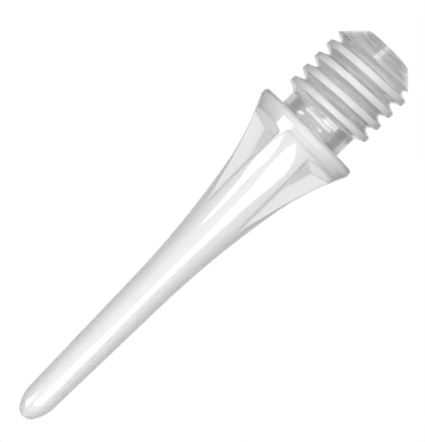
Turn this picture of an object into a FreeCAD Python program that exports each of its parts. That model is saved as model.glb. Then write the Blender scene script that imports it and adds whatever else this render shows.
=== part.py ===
"""Screw-in soft tip point, modelled as a parametric FreeCAD document.

Frame: millimetres, +X along the axis towards the threaded end, +Z up through
the middle of the front rib. The origin is on the axis, in the plane of the
shoulder that seats against the part the tip screws into.

Three solids that meet face to face:
  threaded_shank   right-hand 2BA thread, upper neck and lead-in chamfer
  flared_head      lower neck, shoulder flange and the four-pocket flared head
  tapered_point    long round shaft with the blunt rounded nose
"""
import FreeCAD, Part
import math
import os
import Sketcher

doc = FreeCAD.newDocument("SoftTipPoint")

# ---------------------------------------------------------------- dimensions
sheet = doc.addObject("Spreadsheet::Sheet", "Dims")
ROWS = [
    # alias, value (mm, or a plain ratio), meaning
    ("nose_x", -19.79, "nose end of the point"),
    ("nose_radius", 0.58, "radius of the blunt end"),
    ("nose_side_radius", 2.07, "radius that blends the blunt end into the shaft"),
    ("shaft_slope", 0.02353, "taper of the round shaft, radius per length"),
    ("flare_start_x", -11.114, "where the straight shaft ends and the flare starts"),
    ("flare_a_cx", -12.253, "long flare arc, centre along the axis"),
    ("flare_a_cy", 49.3932, "long flare arc, centre height"),
    ("flare_a_radius", 48.411, "long flare arc"),
    ("split_point_x", -6.20, "face between point and head, below the pockets"),
    ("flare_join_x", -3.994, "where the two flare arcs meet"),
    ("flare_b_radius", 13.065, "short flare arc up to the flange"),
    ("flare_end_x", -0.40, "flare meets the flange rim"),
    ("rim_radius", 2.87, "flange, outside radius"),
    ("rim_fillet", 0.20, "rounded upper edge of the flange"),
    ("neck_radius", 1.83, "relief neck under the thread"),
    ("neck_fillet", 0.12, "fillet at the foot of the neck"),
    ("seat_radius", 2.44, "inner edge of the ring that the socket's end face lands on"),
    ("split_neck_x", 0.50, "face between head and shank, in the neck"),
    ("blank_start_x", 0.74, "thread blank starts here"),
    ("crest_radius", 2.33, "thread crest, 2BA 4.7 mm less a small moulding allowance"),
    ("thread_root_radius", 1.86, "thread root"),
    ("relief_root_radius", 1.84, "root of the relief that ends the thread"),
    ("pitch", 0.81, "2BA pitch"),
    ("flank_tan", 0.44, "tangent of the 23.75 degree thread flank"),
    ("root_half", 0.0482, "half width of the thread root"),
    ("groove_x", -0.066, "first groove, centre on the +Y side"),
    ("thread_height", 6.10, "length of the helical groove"),
    ("relief_height", 0.6075, "length of the thread-end relief, three quarters of a turn"),
    ("chamfer_x", 4.28, "start of the lead-in chamfer"),
    ("end_x", 5.31, "threaded end"),
    ("end_radius", 1.3, "flat at the threaded end"),
    ("floor_z", 0.177, "pocket floor, height over the mid plane at the shoulder"),
    ("floor_slope", 0.135, "pocket floor, rise per length towards the nose"),
    ("rib_half", 1.078, "rib wall, half width at the mid plane"),
    ("rib_draft", 0.068, "rib wall, draft"),
    ("ceil_x", -2.088, "pocket ceiling on the axis"),
    ("ceil_side", 0.339, "pocket ceiling, rise per width"),
    ("ceil_draft", 0.295, "pocket ceiling, rise per height"),
    ("web_side", 0.42, "corner web in the pocket, along the ceiling"),
    ("web_long", 1.45, "corner web in the pocket, along the rib"),
    ("web_tall", 1.00, "corner web in the pocket, up the rib"),
    ("web_nick", 0.02, "edge break left above the corner web"),
    ("pocket_far_x", -7.6, "outer limit of the pocket tool"),
    ("pocket_far_y", 3.4, "outer limit of the pocket tool"),
    ("pocket_top", 3.4, "upper limit of the pocket tool"),
]
sheet.set("A1", "name")
sheet.set("B1", "value")
sheet.set("C1", "meaning")
D = {}
for i, (alias, value, meaning) in enumerate(ROWS, start=2):
    sheet.set("A%d" % i, alias)
    sheet.set("B%d" % i, repr(value))
    sheet.setAlias("B%d" % i, alias)
    sheet.set("C%d" % i, meaning)
    D[alias] = value
doc.recompute()


# ------------------------------------------------------------------- helpers
def origin_plane(body, role):
    for feature in body.Origin.OriginFeatures:
        if feature.Role == role:
            return feature
    raise RuntimeError("no origin plane " + role)


def new_body(name):
    body = doc.addObject("PartDesign::Body", name)
    body.Label = name
    return body


def new_sketch(body, name, role="XY_Plane"):
    sketch = body.newObject("Sketcher::SketchObject", name)
    sketch.AttachmentSupport = [(origin_plane(body, role), "")]
    sketch.MapMode = "FlatFace"
    return sketch


def bind(sketch, constraint, name, expression):
    """Add one driving dimension and tie it to the sheet."""
    index = sketch.addConstraint(constraint)
    sketch.renameConstraint(index, name)
    sketch.setExpression("Constraints." + name, expression)
    return index


def line(sketch, a, b):
    return sketch.addGeometry(
        Part.LineSegment(FreeCAD.Vector(a[0], a[1], 0), FreeCAD.Vector(b[0], b[1], 0)), False)


def arc(sketch, centre, radius, a, b):
    """Arc from a to b, turning anticlockwise about its centre."""
    a0 = math.atan2(a[1] - centre[1], a[0] - centre[0])
    a1 = math.atan2(b[1] - centre[1], b[0] - centre[0])
    if a1 <= a0:
        a1 += 2 * math.pi
    circle = Part.Circle(FreeCAD.Vector(centre[0], centre[1], 0), FreeCAD.Vector(0, 0, 1), radius)
    return sketch.addGeometry(Part.ArcOfCircle(circle, a0, a1), False)


def join(sketch, g1, p1, g2, p2):
    sketch.addConstraint(Sketcher.Constraint("Coincident", g1, p1, g2, p2))


def place(sketch, geo, pos, name, ex, ey):
    """Dimension one vertex from the origin, along and across the axis."""
    vertex = sketch.getPoint(geo, pos)
    if ex == 0:
        sketch.addConstraint(Sketcher.Constraint("PointOnObject", geo, pos, -2))
    else:
        bind(sketch, Sketcher.Constraint("DistanceX", -1, 1, geo, pos, vertex.x), name + "_x", ex)
    if ey == 0:
        sketch.addConstraint(Sketcher.Constraint("PointOnObject", geo, pos, -1))
    else:
        bind(sketch, Sketcher.Constraint("DistanceY", -1, 1, geo, pos, vertex.y), name + "_y", ey)


def settle(*features):
    doc.recompute()
    for feature in features:
        state = list(feature.State)
        if "Invalid" in state or "Error" in state:
            raise RuntimeError("%s failed: %s" % (feature.Label, state))


# --------------------------------------------------- flare arcs of the body
def flare_a(x):
    return D["flare_a_cy"] - math.sqrt(D["flare_a_radius"] ** 2 - (x - D["flare_a_cx"]) ** 2)


def flare_a_text(x):
    return ("Dims.flare_a_cy - sqrt(Dims.flare_a_radius ^ 2 - (%s - Dims.flare_a_cx) ^ 2)" % x)


JOIN_SIN = (D["flare_join_x"] - D["flare_a_cx"]) / D["flare_a_radius"]
JOIN_COS = math.sqrt(1 - JOIN_SIN ** 2)
JOIN = (D["flare_join_x"], flare_a(D["flare_join_x"]))
B_CENTRE = (JOIN[0] - D["flare_b_radius"] * JOIN_SIN, JOIN[1] + D["flare_b_radius"] * JOIN_COS)


def flare_b(x):
    return B_CENTRE[1] - math.sqrt(D["flare_b_radius"] ** 2 - (x - B_CENTRE[0]) ** 2)


# ============================================================ tapered_point
point = new_body("tapered_point")
sk = new_sketch(point, "point_profile")

slope = D["shaft_slope"]
norm = math.hypot(1.0, slope)
START = (D["flare_start_x"], flare_a(D["flare_start_x"]))
SPLIT = (D["split_point_x"], flare_a(D["split_point_x"]))
T_CENTRE = (D["nose_x"] + D["nose_radius"], 0.0)
rho, rho2 = D["nose_radius"], D["nose_side_radius"]
jx = -18.0
for _ in range(40):
    jr = START[1] + slope * (jx - START[0])
    cy = jr - rho2 / norm
    dx = math.sqrt((rho2 - rho) ** 2 - cy ** 2)
    jx = T_CENTRE[0] + dx - rho2 * slope / norm
JR = START[1] + slope * (jx - START[0])
S_CENTRE = (jx + rho2 * slope / norm, JR - rho2 / norm)
k = rho / (rho2 - rho)
TS = (T_CENTRE[0] + k * (T_CENTRE[0] - S_CENTRE[0]), k * (0.0 - S_CENTRE[1]))

TIP = (D["nose_x"], 0.0)
g_tip = arc(sk, T_CENTRE, rho, TS, TIP)                       # blunt end
g_side = arc(sk, S_CENTRE, rho2, (jx, JR), TS)                # blend
g_shaft = line(sk, (jx, JR), START)                           # straight taper
g_flare = arc(sk, (D["flare_a_cx"], D["flare_a_cy"]), D["flare_a_radius"], START, SPLIT)
g_face = line(sk, SPLIT, (D["split_point_x"], 0.0))
g_axis = line(sk, (D["split_point_x"], 0.0), TIP)

join(sk, g_face, 2, g_axis, 1)
join(sk, g_axis, 2, g_tip, 2)
join(sk, g_flare, 2, g_face, 1)
join(sk, g_shaft, 2, g_flare, 1)
sk.addConstraint(Sketcher.Constraint("Tangent", g_tip, 1, g_side, 2))
sk.addConstraint(Sketcher.Constraint("Tangent", g_side, 1, g_shaft, 1))
sk.addConstraint(Sketcher.Constraint("PointOnObject", g_tip, 3, -1))
sk.addConstraint(Sketcher.Constraint("PointOnObject", g_axis, 1, -1))
place(sk, g_axis, 2, "tip", "Dims.nose_x", 0)
sk.addConstraint(Sketcher.Constraint("Vertical", g_face))
bind(sk, Sketcher.Constraint("Radius", g_tip, rho), "tip_radius", "Dims.nose_radius")
bind(sk, Sketcher.Constraint("Radius", g_side, rho2), "side_radius", "Dims.nose_side_radius")
bind(sk, Sketcher.Constraint("Angle", g_shaft, math.atan(slope)), "shaft_angle",
     "atan(Dims.shaft_slope)")
bind(sk, Sketcher.Constraint("Radius", g_flare, D["flare_a_radius"]), "flare_radius",
     "Dims.flare_a_radius")
place(sk, g_flare, 3, "flare_centre", "Dims.flare_a_cx", "Dims.flare_a_cy")
bind(sk, Sketcher.Constraint("DistanceX", -1, 1, g_flare, 1, START[0]), "flare_start",
     "Dims.flare_start_x")
bind(sk, Sketcher.Constraint("DistanceX", -1, 1, g_flare, 2, SPLIT[0]), "flare_stop",
     "Dims.split_point_x")

rev = point.newObject("PartDesign::Revolution", "point_turned")
rev.Profile = sk
rev.ReferenceAxis = (sk, ["H_Axis"])
rev.Angle = 360
point.Tip = rev
settle(sk, rev)

# ============================================================== flared_head
head = new_body("flared_head")
sk = new_sketch(head, "head_profile")
X_T, X_N = D["split_point_x"], D["split_neck_x"]
fil, nf = D["rim_fillet"], D["neck_fillet"]
END_B = (D["flare_end_x"], flare_b(D["flare_end_x"]))
P = {
    "axis0": (X_T, 0.0),
    "foot": SPLIT,
    "join": JOIN,
    "end": END_B,
    "rim": (-fil, D["rim_radius"]),
    "edge": (0.0, D["rim_radius"] - fil),
    "land": (0.0, D["seat_radius"]),
    "seat": (0.0, D["neck_radius"] + nf),
    "neck": (nf, D["neck_radius"]),
    "top": (X_N, D["neck_radius"]),
    "axis1": (X_N, 0.0),
}
h_face = line(sk, P["axis0"], P["foot"])
h_a = arc(sk, (D["flare_a_cx"], D["flare_a_cy"]), D["flare_a_radius"], P["foot"], P["join"])
h_b = arc(sk, B_CENTRE, D["flare_b_radius"], P["join"], P["end"])
h_rim = line(sk, P["end"], P["rim"])
h_round = arc(sk, (-fil, D["rim_radius"] - fil), fil, P["edge"], P["rim"])
h_land = line(sk, P["edge"], P["land"])      # seating ring, clear of the thread crests
h_seat = line(sk, P["land"], P["seat"])      # inside it, under the socket's chamfer
h_fillet = arc(sk, (nf, D["neck_radius"] + nf), nf, P["seat"], P["neck"])
h_neck = line(sk, P["neck"], P["top"])
h_top = line(sk, P["top"], P["axis1"])
h_axis = line(sk, P["axis1"], P["axis0"])
join(sk, h_face, 2, h_a, 1)
sk.addConstraint(Sketcher.Constraint("Tangent", h_a, 2, h_b, 1))
join(sk, h_b, 2, h_rim, 1)
join(sk, h_rim, 2, h_round, 2)
join(sk, h_round, 1, h_land, 1)
join(sk, h_land, 2, h_seat, 1)
join(sk, h_seat, 2, h_fillet, 1)
join(sk, h_fillet, 2, h_neck, 1)
join(sk, h_neck, 2, h_top, 1)
join(sk, h_top, 2, h_axis, 1)
join(sk, h_axis, 2, h_face, 1)
place(sk, h_axis, 2, "foot", "Dims.split_point_x", 0)
sk.addConstraint(Sketcher.Constraint("Vertical", h_face))
bind(sk, Sketcher.Constraint("Radius", h_a, D["flare_a_radius"]), "flare_a", "Dims.flare_a_radius")
place(sk, h_a, 3, "flare_a_centre", "Dims.flare_a_cx", "Dims.flare_a_cy")
bind(sk, Sketcher.Constraint("DistanceX", -1, 1, h_a, 2, JOIN[0]), "flare_join", "Dims.flare_join_x")
bind(sk, Sketcher.Constraint("Radius", h_b, D["flare_b_radius"]), "flare_b", "Dims.flare_b_radius")
bind(sk, Sketcher.Constraint("DistanceX", -1, 1, h_b, 2, END_B[0]), "flare_end", "Dims.flare_end_x")
place(sk, h_rim, 2, "rim", "-Dims.rim_fillet", "Dims.rim_radius")
bind(sk, Sketcher.Constraint("Radius", h_round, fil), "rim_round", "Dims.rim_fillet")
place(sk, h_land, 1, "edge", 0, "Dims.rim_radius - Dims.rim_fillet")
place(sk, h_seat, 1, "land", 0, "Dims.seat_radius")
place(sk, h_seat, 2, "seat", 0, "Dims.neck_radius + Dims.neck_fillet")
bind(sk, Sketcher.Constraint("Radius", h_fillet, nf), "neck_round", "Dims.neck_fillet")
place(sk, h_neck, 1, "neck", "Dims.neck_fillet", "Dims.neck_radius")
place(sk, h_neck, 2, "top", "Dims.split_neck_x", "Dims.neck_radius")
place(sk, h_top, 2, "end", "Dims.split_neck_x", 0)

turned = head.newObject("PartDesign::Revolution", "head_turned")
turned.Profile = sk
turned.ReferenceAxis = (sk, ["H_Axis"])
turned.Angle = 360
turned.Refine = False            # keeps the seating ring a face of its own
head.Tip = turned
settle(sk, turned)
turned_volume = turned.Shape.Volume

# One pocket is lofted through three sections parallel to its floor, which
# leans towards the nose. Each section has the rib wall on one side and the
# leaning ceiling at its end; the corner between them carries a web that
# shrinks to a small edge break above the web's height.
TILT = math.atan(D["floor_slope"])
G_TEXT = "(Dims.ceil_draft - Dims.ceil_side * Dims.rib_draft)"


def pocket_section(name, lift, lift_text, web_y, web_y_text, web_x, web_x_text):
    sketch = new_sketch(head, name)
    sketch.AttachmentOffset = FreeCAD.Placement(
        FreeCAD.Vector(0, 0, D["floor_z"] + lift),
        FreeCAD.Rotation(FreeCAD.Vector(0, 1, 0), math.degrees(TILT)))
    sketch.setExpression("AttachmentOffset.Base.z", "Dims.floor_z + " + lift_text)
    sketch.setExpression("AttachmentOffset.Rotation.Angle", "atan(Dims.floor_slope)")
    z0 = D["floor_z"] + lift
    m = D["floor_slope"]
    c = math.cos(TILT)
    z0_text = "(Dims.floor_z + %s)" % lift_text
    c_text = "cos(atan(Dims.floor_slope))"

    # the wall is y = rib_half - rib_draft * z, the ceiling is
    # x = ceil_x + ceil_side * y + ceil_draft * z, the section is z = z0 - m * x
    def wall_y(x):
        return D["rib_half"] - D["rib_draft"] * (z0 - m * x)

    def ceiling_x(y):
        return (D["ceil_x"] + D["ceil_side"] * y + D["ceil_draft"] * z0) / (1 + D["ceil_draft"] * m)

    def wall_text(x):
        return "(Dims.rib_half - Dims.rib_draft * (%s - Dims.floor_slope * %s))" % (z0_text, x)

    def ceiling_text(y):
        return ("((Dims.ceil_x + Dims.ceil_side * %s + Dims.ceil_draft * %s)"
                " / (1 + Dims.ceil_draft * Dims.floor_slope))" % (y, z0_text))

    g = D["ceil_draft"] - D["ceil_side"] * D["rib_draft"]
    kx = (D["ceil_x"] + D["ceil_side"] * D["rib_half"] + g * z0) / (1 + g * m)
    kx_text = ("((Dims.ceil_x + Dims.ceil_side * Dims.rib_half + %s * %s)"
               " / (1 + %s * Dims.floor_slope))" % (G_TEXT, z0_text, G_TEXT))
    ky = wall_y(kx)
    ky_text = wall_text(kx_text)

    far_x, far_y = D["pocket_far_x"], D["pocket_far_y"]
    a_x, a_xt = kx - web_x, "(%s - %s)" % (kx_text, web_x_text)
    b_y, b_yt = ky + web_y, "(%s + %s)" % (ky_text, web_y_text)
    corners = [
        (far_x, wall_y(far_x), "Dims.pocket_far_x", wall_text("Dims.pocket_far_x")),
        (a_x, wall_y(a_x), a_xt, wall_text(a_xt)),
        (ceiling_x(b_y), b_y, ceiling_text(b_yt), b_yt),
        (ceiling_x(far_y), far_y, ceiling_text("Dims.pocket_far_y"), "Dims.pocket_far_y"),
        (far_x, far_y, "Dims.pocket_far_x", "Dims.pocket_far_y"),
    ]
    ids = []
    for i, (x, y, _, _) in enumerate(corners):
        nx, ny = corners[(i + 1) % 5][:2]
        ids.append(line(sketch, (x / c, y), (nx / c, ny)))
    for i in range(5):
        join(sketch, ids[i], 2, ids[(i + 1) % 5], 1)
    for i, (_, _, xt, yt) in enumerate(corners):
        place(sketch, ids[i], 1, "corner%d" % i, "%s / %s" % (xt, c_text), yt)
    return sketch


low = pocket_section("pocket_floor", 0.0, "0", D["web_side"], "Dims.web_side",
                     D["web_long"], "Dims.web_long")
mid = pocket_section("pocket_middle", D["web_tall"], "Dims.web_tall", D["web_nick"],
                     "Dims.web_nick", D["web_nick"], "Dims.web_nick")
high = pocket_section("pocket_mouth", D["pocket_top"], "Dims.pocket_top", D["web_nick"],
                      "Dims.web_nick", D["web_nick"], "Dims.web_nick")
settle(low, mid, high)
pocket = head.newObject("PartDesign::SubtractiveLoft", "pocket")
pocket.Profile = low
pocket.Sections = [mid, high]
pocket.Ruled = True
pocket.Refine = False
head.Tip = pocket
settle(pocket)
one_cut = turned_volume - pocket.Shape.Volume
if one_cut <= 0.1:
    raise RuntimeError("the pocket removed nothing")

pattern = head.newObject("PartDesign::MultiTransform", "pockets")
pattern.Originals = [pocket]
across = head.newObject("PartDesign::Mirrored", "mirror_side")
across.MirrorPlane = (origin_plane(head, "XZ_Plane"), [""])
over = head.newObject("PartDesign::Mirrored", "mirror_back")
over.MirrorPlane = (origin_plane(head, "XY_Plane"), [""])
pattern.Transformations = [across, over]
pattern.Refine = False
head.Tip = pattern
settle(pattern)
all_cut = turned_volume - pattern.Shape.Volume
if abs(all_cut - 4 * one_cut) > 0.02 * all_cut:
    raise RuntimeError("the four pockets removed %.3f, not four times %.3f" % (all_cut, one_cut))

# =========================================================== threaded_shank
shank = new_body("threaded_shank")
sk = new_sketch(shank, "shank_profile")
x_flank = D["blank_start_x"] + (D["crest_radius"] - D["neck_radius"]) * D["flank_tan"]
ring = [
    (X_N, 0.0, "Dims.split_neck_x", 0),
    (X_N, D["neck_radius"], "Dims.split_neck_x", "Dims.neck_radius"),
    (D["blank_start_x"], D["neck_radius"], "Dims.blank_start_x", "Dims.neck_radius"),
    (x_flank, D["crest_radius"],
     "Dims.blank_start_x + (Dims.crest_radius - Dims.neck_radius) * Dims.flank_tan",
     "Dims.crest_radius"),
    (D["chamfer_x"], D["crest_radius"], "Dims.chamfer_x", "Dims.crest_radius"),
    (D["end_x"], D["end_radius"], "Dims.end_x", "Dims.end_radius"),
    (D["end_x"], 0.0, "Dims.end_x", 0),
]
ids = [line(sk, ring[i][:2], ring[(i + 1) % len(ring)][:2]) for i in range(len(ring))]
for i in range(len(ring)):
    join(sk, ids[i], 2, ids[(i + 1) % len(ring)], 1)
for i, (_, _, ex, ey) in enumerate(ring):
    place(sk, ids[i], 1, "corner%d" % i, ex, ey)
blank = shank.newObject("PartDesign::Revolution", "shank_turned")
blank.Profile = sk
blank.ReferenceAxis = (sk, ["H_Axis"])
blank.Angle = 360
shank.Tip = blank
settle(sk, blank)
blank_volume = blank.Shape.Volume


def groove_section(name, x0, x0_text, x1, x1_text, root, root_text):
    """Open V section in the plane of the axis, flanks leaning outwards."""
    sketch = new_sketch(shank, name)
    reach = 0.75
    out = reach * D["flank_tan"]
    corners = [
        (x0, root, x0_text, root_text),
        (x0 - out, root + reach, "%s - %g * Dims.flank_tan" % (x0_text, reach),
         "%s + %g" % (root_text, reach)),
        (x1 + out, root + reach, "%s + %g * Dims.flank_tan" % (x1_text, reach),
         "%s + %g" % (root_text, reach)),
        (x1, root, x1_text, root_text),
    ]
    ids = [line(sketch, corners[i][:2], corners[(i + 1) % 4][:2]) for i in range(4)]
    for i in range(4):
        join(sketch, ids[i], 2, ids[(i + 1) % 4], 1)
    for i, (_, _, ex, ey) in enumerate(corners):
        place(sketch, ids[i], 1, "corner%d" % i, ex, ey)
    return sketch


def helix_cut(name, sketch, height, height_text):
    cut = shank.newObject("PartDesign::SubtractiveHelix", name)
    cut.Profile = sketch
    cut.ReferenceAxis = (sketch, ["H_Axis"])
    cut.Mode = 0
    cut.Pitch = D["pitch"]
    cut.Height = height
    cut.setExpression("Pitch", "Dims.pitch")
    cut.setExpression("Height", height_text)
    cut.LeftHanded = False
    shank.Tip = cut
    return cut


half = D["root_half"]
gx = D["groove_x"]
# the lowest ridge ends square on the back of the neck: a relief as wide as one
# whole pitch takes away what would carry on round to the front
sk_relief = groove_section("relief_section", gx, "Dims.groove_x",
                           gx + D["pitch"], "(Dims.groove_x + Dims.pitch)",
                           D["relief_root_radius"], "Dims.relief_root_radius")
relief = helix_cut("thread_end_relief", sk_relief, D["relief_height"], "Dims.relief_height")
settle(sk_relief, relief)
relief_volume = relief.Shape.Volume
if blank_volume - relief_volume < 1.0:
    raise RuntimeError("the thread-end relief removed only %.3f" % (blank_volume - relief_volume))

sk_groove = groove_section("groove_section", gx - half, "(Dims.groove_x - Dims.root_half)",
                           gx + half, "(Dims.groove_x + Dims.root_half)",
                           D["thread_root_radius"], "Dims.thread_root_radius")
groove = helix_cut("thread_groove", sk_groove, D["thread_height"], "Dims.thread_height")
settle(sk_groove, groove)
if relief_volume - groove.Shape.Volume < 3.0:
    raise RuntimeError("the thread groove removed only %.3f" % (relief_volume - groove.Shape.Volume))

# ------------------------------------------------------------ check and write
doc.recompute()
for obj in doc.Objects:
    state = list(obj.State)
    if "Invalid" in state or "Error" in state:
        raise RuntimeError("%s: %s" % (obj.Label, state))

os.makedirs("parts", exist_ok=True)
for body in (point, head, shank):
    shape = body.Shape
    if shape.isNull() or not shape.isValid() or len(shape.Solids) != 1:
        raise RuntimeError("%s is not one valid solid" % body.Label)
    box = shape.BoundBox
    print("%-16s volume %8.3f  x %.3f..%.3f  y %.3f..%.3f  z %.3f..%.3f" % (
        body.Label, shape.Volume, box.XMin, box.XMax, box.YMin, box.YMax, box.ZMin, box.ZMax))
    shape.exportStep("parts/%s.step" % body.Label)
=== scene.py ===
"""Clear moulded screw-in point on a white table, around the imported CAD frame."""
import bpy
import math
import numpy as np
from mathutils import Matrix, Vector


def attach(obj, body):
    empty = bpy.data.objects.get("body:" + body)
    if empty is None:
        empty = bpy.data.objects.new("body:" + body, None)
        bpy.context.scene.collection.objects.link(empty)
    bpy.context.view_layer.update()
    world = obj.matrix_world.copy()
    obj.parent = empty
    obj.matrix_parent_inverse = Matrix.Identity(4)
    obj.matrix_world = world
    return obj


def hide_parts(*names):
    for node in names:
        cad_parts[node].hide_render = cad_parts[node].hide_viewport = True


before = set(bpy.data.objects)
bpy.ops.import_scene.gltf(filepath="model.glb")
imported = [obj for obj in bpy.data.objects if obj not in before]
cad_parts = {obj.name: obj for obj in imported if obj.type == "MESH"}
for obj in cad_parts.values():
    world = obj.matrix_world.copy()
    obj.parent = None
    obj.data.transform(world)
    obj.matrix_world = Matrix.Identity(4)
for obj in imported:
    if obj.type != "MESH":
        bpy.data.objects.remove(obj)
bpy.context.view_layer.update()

MM = 0.001

# ------------------------------------------------------------- shape (mm)
NOSE_X, NOSE_R, NOSE_SIDE_R = -19.79, 0.58, 2.07
SLOPE, FLARE_X = 0.02353, -11.114
A_CX, A_CY, A_R = -12.253, 49.3932, 48.411
JOIN_X, B_R, FLARE_END = -3.994, 13.065, -0.40
RIM_R, RIM_FIL = 2.87, 0.20
NECK_R, NECK_FIL = 1.83, 0.12
BLANK_X, CREST_R, ROOT_R, RELIEF_R = 0.74, 2.33, 1.86, 1.84
PITCH, FLANK_TAN, ROOT_HALF, GROOVE_X = 0.81, 0.44, 0.0482, -0.066
CHAMFER_X, END_X, END_R = 4.28, 5.31, 1.30
FLOOR_Z, FLOOR_SLOPE = 0.177, 0.135
RIB_HALF, RIB_DRAFT = 1.078, 0.068
CEIL_X, CEIL_SIDE, CEIL_DRAFT = -2.088, 0.339, 0.295
WEB_SIDE, WEB_LONG, WEB_TALL = 0.42, 1.45, 1.00

JOIN_SIN = (JOIN_X - A_CX) / A_R
JOIN_R = A_CY - math.sqrt(A_R ** 2 - (JOIN_X - A_CX) ** 2)
B_CX = JOIN_X - B_R * JOIN_SIN
B_CY = JOIN_R + B_R * math.sqrt(1 - JOIN_SIN ** 2)
START_R = A_CY - math.sqrt(A_R ** 2 - (FLARE_X - A_CX) ** 2)


def nose_blend():
    """Centre of the side arc, its join with the shaft, and its join with the nose ball."""
    norm = math.hypot(1.0, SLOPE)
    tcx = NOSE_X + NOSE_R
    jx = -18.0
    for _ in range(40):
        cy = START_R + SLOPE * (jx - FLARE_X) - NOSE_SIDE_R / norm
        dx = math.sqrt((NOSE_SIDE_R - NOSE_R) ** 2 - cy ** 2)
        jx = tcx + dx - NOSE_SIDE_R * SLOPE / norm
    cx = jx + NOSE_SIDE_R * SLOPE / norm
    k = NOSE_R / (NOSE_SIDE_R - NOSE_R)
    return cx, cy, jx, tcx + k * (tcx - cx)


S_CX, S_CY, NOSE_JOIN, BALL_JOIN = nose_blend()


def outer_radius(x):
    """Turned outline of the point, flare and flange."""
    ball = np.sqrt(np.maximum(NOSE_R ** 2 - (x - NOSE_X - NOSE_R) ** 2, 0.0))
    side = S_CY + np.sqrt(np.maximum(NOSE_SIDE_R ** 2 - (x - S_CX) ** 2, 0.0))
    shaft = START_R + SLOPE * (x - FLARE_X)
    a = A_CY - np.sqrt(np.maximum(A_R ** 2 - (x - A_CX) ** 2, 0.0))
    b = B_CY - np.sqrt(np.maximum(B_R ** 2 - (x - B_CX) ** 2, 0.0))
    r = np.where(x < BALL_JOIN, ball, side)
    r = np.where(x < NOSE_JOIN, r, shaft)
    r = np.where(x < FLARE_X, r, a)
    r = np.where(x < JOIN_X, r, b)
    return np.where(x < FLARE_END, r, RIM_R)


def smax(a, b, k):
    h = np.maximum(k - np.abs(a - b), 0.0) / k
    return np.maximum(a, b) + h * h * k * 0.25


def smin(a, b, k):
    return -smax(-a, -b, k)


def solve_radius(field, shape, low, high, steps=34):
    """Radius where a field that grows outwards crosses zero, for every grid point."""
    lo = np.full(shape, low)
    hi = np.full(shape, high)
    for _ in range(steps):
        mid = 0.5 * (lo + hi)
        inside = field(mid) < 0.0
        lo = np.where(inside, mid, lo)
        hi = np.where(inside, hi, mid)
    return 0.5 * (lo + hi)


def body_grid(xs, th):
    X, T = np.meshgrid(xs, th, indexing="ij")
    C, S = np.abs(np.cos(T)), np.abs(np.sin(T))
    R = outer_radius(X)
    slope = np.gradient(outer_radius(xs), xs)[:, None]
    flat = 1.0 / np.sqrt(1.0 + np.clip(slope, -2, 2) ** 2)
    ceil_n = 1.0 / math.sqrt(1.0 + CEIL_SIDE ** 2 + CEIL_DRAFT ** 2)
    web_n = 1.0 / math.sqrt(WEB_SIDE ** -2 + WEB_TALL ** -2 + WEB_LONG ** -2)
    kx = CEIL_X + CEIL_SIDE * 1.035 + CEIL_DRAFT * 0.42

    def field(r):
        y, z = r * C, r * S
        wall = y - (RIB_HALF - RIB_DRAFT * z)
        floor = z - (FLOOR_Z - FLOOR_SLOPE * X)
        ceiling = (CEIL_X + CEIL_SIDE * y + CEIL_DRAFT * z - X) * ceil_n
        web = (wall / WEB_SIDE + floor / WEB_TALL + (kx - X) / WEB_LONG - 1.0) * web_n
        pocket = smin(smin(wall, floor, 0.10), ceiling, 0.10)
        pocket = smin(pocket, web, 0.05)
        out = (r - R) * flat
        return smax(out, pocket, 0.05)

    r = solve_radius(field, X.shape, 0.0, 3.2)
    plain = X < -9.0
    r = np.where(plain, R, r)
    # rounded upper edge of the flange
    over = np.clip(X + RIM_FIL, 0.0, RIM_FIL)
    rim = RIM_R - RIM_FIL + np.sqrt(np.maximum(RIM_FIL ** 2 - over ** 2, 0.0))
    return X, T, np.where(X > -RIM_FIL, np.minimum(r, rim), r)


def shank_grid(xs, th):
    X, T = np.meshgrid(xs, th, indexing="ij")
    turn = T / (2 * math.pi)                       # 0..1 from +Y over +Z
    groove0 = GROOVE_X + PITCH * (1.0 + turn)      # groove above the lowest full ridge
    d = X - GROOVE_X - PITCH * turn
    dx = np.abs(d - PITCH * np.round(d / PITCH))
    cosf = 1.0 / math.hypot(1.0, FLANK_TAN)
    cone = math.sqrt(0.5)

    def field(r):
        # crest and lead-in chamfer
        lead = (r - END_R - (END_X - X)) * cone
        body = smax(r - CREST_R, lead, 0.08)
        # helical groove with a rounded root
        flank = ((r - ROOT_R) * FLANK_TAN + ROOT_HALF - dx) * cosf
        cut = smin(flank, r - ROOT_R, 0.12)
        # nothing above the neck before the blank starts
        low = smin(r - NECK_R, (BLANK_X + (r - NECK_R) * FLANK_TAN - X) * cosf, 0.04)
        # the lowest ridge ends on the back: relief on the rest of that turn
        back = (0.75 - turn) * 2 * math.pi * r
        relief_flank = ((r - ROOT_R) * FLANK_TAN + ROOT_HALF + groove0 - X) * cosf
        relief = smin(smin(relief_flank, back, 0.08), r - RELIEF_R, 0.08)
        relief = smin(relief, X - (BLANK_X - 0.06), 0.06)
        out = smax(body, cut, 0.05)
        out = smax(out, low, 0.05)
        return smax(out, relief, 0.05)

    r = solve_radius(field, X.shape, 0.2, 2.6)
    # fillet at the foot of the neck
    foot = np.clip(NECK_FIL - X, 0.0, NECK_FIL)
    fillet = NECK_R + NECK_FIL - np.sqrt(np.maximum(NECK_FIL ** 2 - foot ** 2, 0.0))
    r = np.where(X < NECK_FIL, np.maximum(r, fillet), r)
    # softened edge of the end face
    e = np.clip(X - (END_X - 0.06), 0.0, 0.06)
    edge = END_R + 0.06 - 0.035 - (0.06 - np.sqrt(np.maximum(0.06 ** 2 - e ** 2, 0.0))) + 0.035 * (1 - e / 0.06)
    return X, T, np.where(X > END_X - 0.06, np.minimum(r, edge), r)


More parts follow.
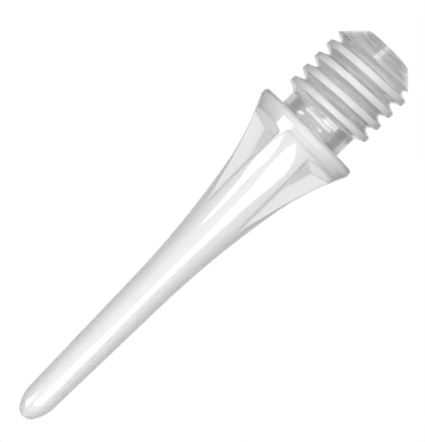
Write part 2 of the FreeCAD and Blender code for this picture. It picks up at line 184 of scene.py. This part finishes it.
def lathe_mesh(name, X, T, R, low_pole, high_pole):
    """Closed mesh from a grid of radii; each end is closed by rings and a pole."""
    nx, nt = R.shape
    y, z = R * np.cos(T), R * np.sin(T)
    verts = np.stack([X, y, z], axis=-1).reshape(-1, 3)
    faces = []
    i = np.arange(nx - 1)[:, None] * nt
    j = np.arange(nt)[None, :]
    j2 = (j + 1) % nt
    quads = np.stack([i + j, i + nt + j, i + nt + j2, i + j2], axis=-1).reshape(-1, 4)
    extra = []
    count = len(verts)
    tris = []
    for ring, pole, flip in ((0, low_pole, False), (nx - 1, high_pole, True)):
        base = ring * nt
        loops = [np.arange(nt) + base]
        rim = verts[base:base + nt]
        centre = np.array([pole, 0.0, 0.0])
        for f in (0.985, 0.93, 0.7, 0.4):
            if abs(rim[:, 1:]).max() < 0.12:
                break
            ids = np.arange(nt) + count
            extra.append(centre + (rim - centre) * [1, f, f])
            count += nt
            loops.append(ids)
        extra.append(centre[None, :])
        tip = count
        count += 1
        for a, b in zip(loops, loops[1:]):
            a2, b2 = np.roll(a, -1), np.roll(b, -1)
            q = np.stack([a, a2, b2, b], axis=-1) if not flip else np.stack([a, b, b2, a2], axis=-1)
            quads = np.concatenate([quads, q])
        last = loops[-1]
        nxt = np.roll(last, -1)
        t = np.stack([last, nxt, np.full(nt, tip)], axis=-1)
        tris.append(t if not flip else t[:, ::-1])
    verts = np.concatenate([verts] + extra) * MM
    tris = np.concatenate(tris)
    mesh = bpy.data.meshes.new(name)
    mesh.vertices.add(len(verts))
    mesh.vertices.foreach_set("co", verts.ravel())
    loops_total = quads.size + tris.size
    mesh.loops.add(loops_total)
    mesh.loops.foreach_set("vertex_index", np.concatenate([quads.ravel(), tris.ravel()]).astype(np.int32))
    mesh.polygons.add(len(quads) + len(tris))
    starts = np.concatenate([np.arange(len(quads)) * 4, quads.size + np.arange(len(tris)) * 3])
    mesh.polygons.foreach_set("loop_start", starts.astype(np.int32))
    mesh.polygons.foreach_set("use_smooth", np.ones(len(quads) + len(tris), dtype=bool))
    mesh.update(calc_edges=True)
    mesh.validate()
    mesh.flip_normals()
    obj = bpy.data.objects.new(name, mesh)
    bpy.context.scene.collection.objects.link(obj)
    return obj


def spaced(*spans):
    """Positions along the axis: (start, stop, step) spans joined end to end."""
    out = []
    for a, b, step in spans:
        n = max(1, int(round((b - a) / step)))
        out.append(np.linspace(a, b, n, endpoint=False))
    out.append([spans[-1][1]])
    return np.concatenate(out)


# nose rows follow the ball so that they stay evenly spaced along the surface
ball = NOSE_X + NOSE_R * (1 - np.cos(np.linspace(0.06, 1.0, 16)))
body_x = np.concatenate([
    ball[ball < BALL_JOIN - 0.005],
    spaced((BALL_JOIN, -17.9, 0.04), (-17.9, -9.0, 0.12), (-9.0, -6.4, 0.045),
           (-6.4, -0.6, 0.022), (-0.6, -0.2, 0.02)),
    -RIM_FIL + RIM_FIL * np.sin(np.linspace(0.12, math.pi / 2, 12)),
])
theta = np.linspace(0, 2 * math.pi, 600, endpoint=False)
X, T, R = body_grid(body_x, theta)
body = lathe_mesh("moulded_body", X, T, R, NOSE_X, 0.0)

shank_x = np.concatenate([
    NECK_FIL * (1 - np.cos(np.linspace(0, math.pi / 2, 8))) + 0.002,
    spaced((NECK_FIL + 0.02, 0.5, 0.03), (0.5, END_X - 0.06, 0.0165)),
    END_X - 0.06 + 0.06 * np.sin(np.linspace(0.2, math.pi / 2, 6)),
])
theta_s = np.linspace(0, 2 * math.pi, 480, endpoint=False)
X, T, R = shank_grid(shank_x, theta_s)
shank = lathe_mesh("moulded_shank", X, T, R, 0.002, END_X)

# --------------------------------------------------------------- materials


def clear_plastic(name, base, transmission, roughness, haze, coat_rough, rings=None, ior=1.47):
    """Clear plastic. rings = (r1, r2, groove share, crest share): the transmission share
    set by distance from the axis in mm, as painted shade that leaves the grooves greyer and the crests paler."""
    mat = bpy.data.materials.new(name)
    mat.use_nodes = True
    nt = mat.node_tree
    nt.nodes.clear()
    out = nt.nodes.new("ShaderNodeOutputMaterial")
    bsdf = nt.nodes.new("ShaderNodeBsdfPrincipled")
    nt.links.new(bsdf.outputs["BSDF"], out.inputs["Surface"])
    coord = nt.nodes.new("ShaderNodeTexCoord")

    def noise(scale, detail, stretch=(1, 1, 1)):
        m = nt.nodes.new("ShaderNodeMapping")
        m.inputs["Scale"].default_value = stretch
        n = nt.nodes.new("ShaderNodeTexNoise")
        n.inputs["Scale"].default_value = scale
        n.inputs["Detail"].default_value = detail
        nt.links.new(coord.outputs["Object"], m.inputs["Vector"])
        nt.links.new(m.outputs["Vector"], n.inputs["Vector"])
        return n.outputs["Fac"]

    def ramp(fac, a, b, ca, cb):
        r = nt.nodes.new("ShaderNodeValToRGB")
        r.color_ramp.elements[0].position = a
        r.color_ramp.elements[1].position = b
        r.color_ramp.elements[0].color = (*ca, 1)
        r.color_ramp.elements[1].color = (*cb, 1)
        nt.links.new(fac, r.inputs["Fac"])
        return r.outputs["Color"]

    # faint flow clouding of the moulding, drawn out along the axis
    cloud = noise(420.0, 3.0, (0.35, 1, 1))
    lo = tuple(c * (1 - haze) for c in base)
    colour = ramp(cloud, 0.35, 0.68, lo, base)
    nt.links.new(colour, bsdf.inputs["Base Color"])
    # polish that varies a little over the surface
    scuff = noise(2600.0, 4.0)
    rough = nt.nodes.new("ShaderNodeMapRange")
    rough.inputs["From Min"].default_value = 0.3
    rough.inputs["From Max"].default_value = 0.75
    rough.inputs["To Min"].default_value = roughness * 0.75
    rough.inputs["To Max"].default_value = roughness * 1.35
    nt.links.new(scuff, rough.inputs["Value"])
    nt.links.new(rough.outputs["Result"], bsdf.inputs["Roughness"])
    # very shallow sink and flow marks
    bump = nt.nodes.new("ShaderNodeBump")
    bump.inputs["Strength"].default_value = 0.03
    bump.inputs["Distance"].default_value = 0.00002
    wave = noise(900.0, 2.0, (0.25, 1, 1))
    nt.links.new(wave, bump.inputs["Height"])
    nt.links.new(bump.outputs["Normal"], bsdf.inputs["Normal"])
    bsdf.inputs["IOR"].default_value = ior
    bsdf.inputs["Transmission Weight"].default_value = transmission
    # painted shade: transmission share set by radius, so the crests look paler and the grooves greyer
    if rings:
        parts = nt.nodes.new("ShaderNodeSeparateXYZ")
        flat = nt.nodes.new("ShaderNodeCombineXYZ")
        length = nt.nodes.new("ShaderNodeVectorMath")
        length.operation = "LENGTH"
        span = nt.nodes.new("ShaderNodeMapRange")
        span.interpolation_type = "SMOOTHSTEP"
        nt.links.new(coord.outputs["Object"], parts.inputs[0])
        nt.links.new(parts.outputs["Y"], flat.inputs["Y"])
        nt.links.new(parts.outputs["Z"], flat.inputs["Z"])
        nt.links.new(flat.outputs[0], length.inputs[0])
        nt.links.new(length.outputs["Value"], span.inputs["Value"])
        for key, value in (("From Min", rings[0] * MM), ("From Max", rings[1] * MM),
                           ("To Min", rings[2]), ("To Max", rings[3])):
            span.inputs[key].default_value = value
        nt.links.new(span.outputs["Result"], bsdf.inputs["Transmission Weight"])
    bsdf.inputs["Coat Weight"].default_value = 1.0
    bsdf.inputs["Coat Roughness"].default_value = coat_rough
    bsdf.inputs["Coat IOR"].default_value = 1.5
    bsdf.inputs["Subsurface Weight"].default_value = 0.0
    return mat


body_mat = clear_plastic("clear_body", (0.93, 0.93, 0.93), 0.50, 0.02, 0.03, 0.03)
# the shank's ring values paint shade into the grooves and keep the crests pale
shank_mat = clear_plastic("clear_shank", (0.93, 0.93, 0.93), 0.60, 0.02, 0.04, 0.03,
                          (2.22, 2.31, 0.77, 0.42))
body.data.materials.append(body_mat)
shank.data.materials.append(shank_mat)

for piece, nodes, slot in ((body, ("flared_head", "tapered_point"), "body_clear"),
                           (shank, ("threaded_shank",), "shank_clear")):
    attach(piece, "root")
    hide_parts(*nodes)

# ------------------------------------------------------------------- floor
STRIP_IN, STRIP_OUT = 2.0, 6.0
STRIP_LOW, STRIP_HIGH = 0.15, 0.85
floor_z = -RIM_R - 0.004
bpy.ops.mesh.primitive_plane_add(size=3.0, location=(0, 0, floor_z * MM))
table = bpy.context.object
table.name = "table_top"
mat = bpy.data.materials.new("light_table")
mat.use_nodes = True
tn = mat.node_tree
tn.nodes.clear()


def tnode(kind, **inputs):
    n = tn.nodes.new(kind)
    for k, v in inputs.items():
        n.inputs[int(k[1:])].default_value = v
    return n


def tmath(op, a, b=0.0):
    n = tn.nodes.new("ShaderNodeMath")
    n.operation = op
    for k, v in enumerate((a, b)):
        if isinstance(v, (int, float)):
            n.inputs[k].default_value = v
        else:
            tn.links.new(v, n.inputs[k])
    return n.outputs[0]


def fade(value, start, stop, low, high):
    """Smooth step from low to high as value goes from start to stop."""
    n = tn.nodes.new("ShaderNodeMapRange")
    n.interpolation_type = "SMOOTHSTEP"
    tn.links.new(value, n.inputs["Value"])
    for k, v in (("From Min", start), ("From Max", stop), ("To Min", low), ("To Max", high)):
        n.inputs[k].default_value = v
    return n.outputs["Result"]


# The table glows evenly in view. The light it throws up into the clear plastic
# comes from a strip under the part, so the sides of the part stay darker.
geo = tn.nodes.new("ShaderNodeNewGeometry")
xyz = tn.nodes.new("ShaderNodeSeparateXYZ")
tn.links.new(geo.outputs["Position"], xyz.inputs[0])
strip = fade(tmath("ABSOLUTE", xyz.outputs["Y"]), STRIP_IN * MM, STRIP_OUT * MM, 1.0, 0.0)
glow = tmath("ADD", tmath("MULTIPLY", strip, STRIP_HIGH - STRIP_LOW), STRIP_LOW)
path = tn.nodes.new("ShaderNodeLightPath")
seen = path.outputs["Is Camera Ray"]
strength = tmath("ADD", tmath("MULTIPLY", seen, 1.0),
                 tmath("MULTIPLY", tmath("SUBTRACT", 1.0, seen), glow))
emit = tn.nodes.new("ShaderNodeEmission")
tn.links.new(strength, emit.inputs["Strength"])
t_out = tn.nodes.new("ShaderNodeOutputMaterial")
tn.links.new(emit.outputs[0], t_out.inputs["Surface"])
table.data.materials.append(mat)

# ------------------------------------------------------------------- world
world = bpy.data.worlds.new("tent")
bpy.context.scene.world = world
world.use_nodes = True
wn = world.node_tree
wn.nodes.clear()
w_out = wn.nodes.new("ShaderNodeOutputWorld")
tent = wn.nodes.new("ShaderNodeBackground")
plain = wn.nodes.new("ShaderNodeBackground")
mix = wn.nodes.new("ShaderNodeMixShader")
path = wn.nodes.new("ShaderNodeLightPath")
plain.inputs["Color"].default_value = (1, 1, 1, 1)
plain.inputs["Strength"].default_value = 1.0
wn.links.new(path.outputs["Is Camera Ray"], mix.inputs["Fac"])
wn.links.new(tent.outputs[0], mix.inputs[1])
wn.links.new(plain.outputs[0], mix.inputs[2])
wn.links.new(mix.outputs[0], w_out.inputs["Surface"])
coord = wn.nodes.new("ShaderNodeTexCoord")
sep = wn.nodes.new("ShaderNodeSeparateXYZ")
wn.links.new(coord.outputs["Generated"], sep.inputs[0])


def wmath(op, a, b=None):
    n = wn.nodes.new("ShaderNodeMath")
    n.operation = op
    for k, v in enumerate((a, b)):
        if v is None:
            continue
        if isinstance(v, (int, float)):
            n.inputs[k].default_value = v
        else:
            wn.links.new(v, n.inputs[k])
    return n.outputs[0]


# dark horizon, bright overhead
SKY_LOW, SKY_TOP, SKY_POWER, SKY_X, SKY_Y = 0.10, 1.70, 1.2, -0.34, 0.06
level = wmath("MULTIPLY", sep.outputs["X"], SKY_X)
level = wmath("ADD", level, wmath("MULTIPLY", sep.outputs["Y"], SKY_Y))
up = wmath("MAXIMUM", sep.outputs["Z"], 0.0)
level = wmath("ADD", level, wmath("MULTIPLY", wmath("POWER", up, SKY_POWER), SKY_TOP))
level = wmath("ADD", level, SKY_LOW)
wn.links.new(wmath("MAXIMUM", level, 0.05), tent.inputs["Strength"])
tent.inputs["Color"].default_value = (1, 1, 1, 1)


# ------------------------------------------------------------------ lights
def panel(name, corners, height, radiance):
    """Flat soft panel; corners are (x, y) in mm at one height, or (x, y, z)."""
    mesh = bpy.data.meshes.new(name)
    mesh.from_pydata([[v * MM for v in (tuple(c) + (height,))[:3]] for c in corners], [],
                     [tuple(range(len(corners)))])
    mesh.update()
    obj = bpy.data.objects.new(name, mesh)
    bpy.context.scene.collection.objects.link(obj)
    glow_mat = bpy.data.materials.new(name)
    glow_mat.use_nodes = True
    pn = glow_mat.node_tree
    pn.nodes.clear()
    e = pn.nodes.new("ShaderNodeEmission")
    e.inputs["Strength"].default_value = radiance
    o = pn.nodes.new("ShaderNodeOutputMaterial")
    pn.links.new(e.outputs[0], o.inputs["Surface"])
    mesh.materials.append(glow_mat)
    obj.visible_camera = False
    obj.visible_transmission = False
    obj.visible_diffuse = False
    return obj


panel("panel_right", [(-12, -4), (-12, -24), (-30, -42), (-40, -54), (-57, -52), (-64, 0), (-58, 9),
                      (-40, 7), (-30, 1), (-26, -5)], 60, 5.0)
panel("panel_left", [(-238, 357), (-261, 597), (-584, 927), (-726, 657), (-768, 456), (-584, 306),
                     (-460, 246), (-354, 327)], 600, 5.0)
panel("panel_far", [(-829, 396), (-829, 837), (-913, 1176), (-1192, 1746), (-1592, 2196), (-1694, 1098),
                    (-1192, 516)], 600, 5.0)
# narrow panel beyond the threaded end: the bright bar on the lead-in cone
panel("panel_end", [(30, 0.2, -2.8), (30, 3.8, -2.8), (30, 3.8, 16), (30, 0.2, 16)], 0, 2.4)


def card(name, corners, radiance, lift):
    """Small lit or dark card on the table, seen only through the clear plastic as a painted highlight or
    painted shade in the part.
    """
    obj = panel(name, corners, -RIM_R - 0.004 + lift, radiance)
    obj.visible_transmission = True
    obj.visible_glossy = False
    obj.visible_shadow = False
    return obj


def patch(name, x0, x1, y0, y1, radiance, lift):
    return card(name, [(x0, y0), (x1, y0), (x1, y1), (x0, y1)], radiance, lift)


# the neck works as a strong lens that is in focus on the table, so these are small
# painted highlight and painted shade: these cards give the neck its bright window and spots and its dark sides
patch("card_rim", -0.05, 1.60, -0.66, 0.66, 0.38, 0.001)
patch("card_shade", -0.05, 1.60, -0.50, 0.50, 0.22, 0.002)
patch("card_dark", -0.05, 1.60, -0.36, 0.36, 0.13, 0.003)
patch("card_edge", 0.10, 1.60, -0.085, 0.085, 0.30, 0.004)
card("card_window", [(0.53, -0.0175), (0.60, -0.034), (1.60, -0.042), (1.60, 0.042), (0.70, 0.036),
                     (0.55, -0.005)], 0.95, 0.006)
card("card_spot_left", [(0.17, -0.060), (0.20, -0.085), (0.36, -0.060), (0.40, -0.016), (0.24, -0.016)],
     1.15, 0.007)
patch("card_spot_right", 0.24, 0.38, -0.016, -0.0140, 0.55, 0.007)
# painted shade: dimmer cards under the threaded end, seen through it
patch("card_end_wide", 3.4, 6.5, -1.3, 1.3, 0.55, 0.001)
patch("card_end", 3.4, 6.5, -0.5, 0.5, 0.30, 0.002)

# ------------------------------------------------------------------ camera
# close camera, level with the shoulder, looking a little towards the nose
CAM_X, CAM_Z, AIM_X, OFF_Y = -0.5, 72.0, -6.42, 0.18
FOCAL, SENSOR = 121.92, 36.0
lean = math.atan2(CAM_X - AIM_X, CAM_Z)
distance = math.hypot(CAM_X - AIM_X, CAM_Z)
up_axis = Vector((math.cos(lean), 0, -math.sin(lean)))
side = Vector((0, -1, 0))
right = (up_axis + side).normalized()
top = (up_axis - side).normalized()
back = right.cross(top)
target = Vector((AIM_X, OFF_Y, 0.0))
cam_data = bpy.data.cameras.new("camera")
cam_data.lens = FOCAL
cam_data.sensor_fit = "VERTICAL"
cam_data.sensor_height = SENSOR
cam_data.sensor_width = SENSOR
cam_data.clip_start = 0.001
cam_data.clip_end = 10
cam = bpy.data.objects.new("camera", cam_data)
bpy.context.scene.collection.objects.link(cam)
loc = (target + back * distance) * MM
cam.matrix_world = Matrix((
    (right.x, top.x, back.x, loc.x),
    (right.y, top.y, back.y, loc.y),
    (right.z, top.z, back.z, loc.z),
    (0, 0, 0, 1)))
bpy.context.scene.camera = cam
bpy.context.scene.view_settings.view_transform = "Standard"
bpy.context.scene.view_settings.look = "None"
